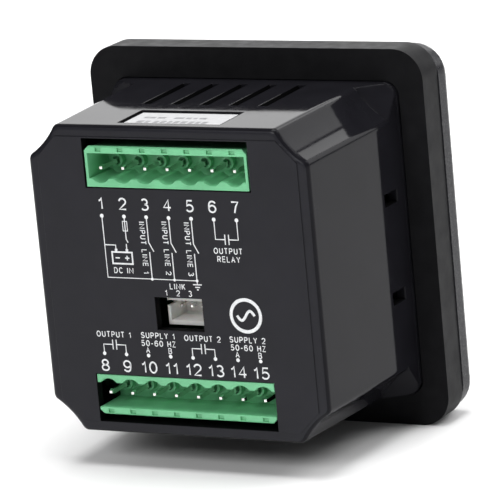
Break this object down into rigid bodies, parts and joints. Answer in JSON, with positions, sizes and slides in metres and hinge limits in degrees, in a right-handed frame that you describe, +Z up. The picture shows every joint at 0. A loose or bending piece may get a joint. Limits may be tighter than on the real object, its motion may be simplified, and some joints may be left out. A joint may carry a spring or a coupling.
{
  "type": "automatic transfer switch controller",
  "caption": "Square panel-mounting transfer switch controller with a deep black case, plug-in terminal rows, a small socket, a digit window, lamps and push keys.",
  "frame": {"origin": "centre of the panel cut-out, in the plane where the gasket meets the panel", "axes": "+X right as seen from the front, +Y from the front face to the terminals, +Z up; the face looks to -Y"},
  "size_m": [0.078, 0.0526, 0.0796],
  "materials": {
    "case_plastic": "satin glossy black moulded plastic",
    "sticker_paper": "plain white sticker",
    "gasket_foam": "matt black soft gasket",
    "bezel_plastic": "finely textured black plastic",
    "face_film": "satin dark grey printed film",
    "dark_window": "dark tinted window",
    "display_module": "dark grey digit module",
    "circuit_board": "green solder mask",
    "chip_plastic": "black moulding compound",
    "black_plastic": "black moulded plastic",
    "gilt_pins": "gold-plated pins",
    "green_plastic": "green terminal plastic",
    "tinned_pins": "tin-plated brass pins",
    "white_plastic": "natural white nylon",
    "relay_plastic": "blue relay cover",
    "capacitor_sleeve": "dark blue sleeve",
    "copper_winding": "varnished winding on a ferrite drum",
    "disc_coating": "blue dipped coating",
    "screw_steel": "zinc-plated steel",
    "red_lamp": "red diffused lamp",
    "green_lamp": "green diffused lamp",
    "amber_lamp": "amber diffused lamp",
    "key_rubber": "satin dark grey keys",
    "plunger_plastic": "natural plastic"
  },
  "bodies": {
    "controller": {"rear_case": "case_plastic", "rating_label": "sticker_paper", "panel_gasket": "gasket_foam", "front_bezel": "bezel_plastic", "front_overlay": "face_film", "display_lens": "dark_window", "digit_display": "display_module", "display_board": "circuit_board", "microcontroller": "chip_plastic", "link_socket": "black_plastic", "link_header": "black_plastic", "link_pins": "gilt_pins", "upper_header": "green_plastic", "upper_header_pins": "tinned_pins", "lower_header": "green_plastic", "lower_header_pins": "tinned_pins", "comm_socket": "white_plastic", "comm_socket_pins": "tinned_pins", "power_board": "circuit_board", "start_relay": "relay_plastic", "mains_relay": "relay_plastic", "generator_relay": "relay_plastic", "large_capacitor": "capacitor_sleeve", "small_capacitor": "capacitor_sleeve", "supply_choke": "copper_winding", "surge_disc": "disc_coating", "optocouplers": "chip_plastic", "supply_chip": "chip_plastic", "display_board_screws": "screw_steel", "power_board_screws": "screw_steel", "case_screws": "screw_steel", "indicator_lamp_1": "red_lamp", "indicator_lamp_2": "green_lamp", "indicator_lamp_3": "green_lamp", "indicator_lamp_4": "red_lamp", "indicator_lamp_5": "amber_lamp", "switch_body_1": "black_plastic", "switch_body_2": "black_plastic", "switch_body_3": "black_plastic", "switch_body_4": "black_plastic"},
    "key_1": {"key_cap_1": "key_rubber", "switch_plunger_1": "plunger_plastic"},
    "key_2": {"key_cap_2": "key_rubber", "switch_plunger_2": "plunger_plastic"},
    "key_3": {"key_cap_3": "key_rubber", "switch_plunger_3": "plunger_plastic"},
    "key_4": {"key_cap_4": "key_rubber", "switch_plunger_4": "plunger_plastic"}
  },
  "joints": [
    {"name": "key_1_press", "type": "slide", "parent": "controller", "child": "key_1", "axis": [0, 1, 0], "range_m": [0, 0.0006], "stiffness_N_per_m": 600, "springref_m": -0.0005},
    {"name": "key_2_press", "type": "slide", "parent": "controller", "child": "key_2", "axis": [0, 1, 0], "range_m": [0, 0.0006], "stiffness_N_per_m": 600, "springref_m": -0.0005},
    {"name": "key_3_press", "type": "slide", "parent": "controller", "child": "key_3", "axis": [0, 1, 0], "range_m": [0, 0.0006], "stiffness_N_per_m": 600, "springref_m": -0.0005},
    {"name": "key_4_press", "type": "slide", "parent": "controller", "child": "key_4", "axis": [0, 1, 0], "range_m": [0, 0.0006], "stiffness_N_per_m": 600, "springref_m": -0.0005}
  ]
}
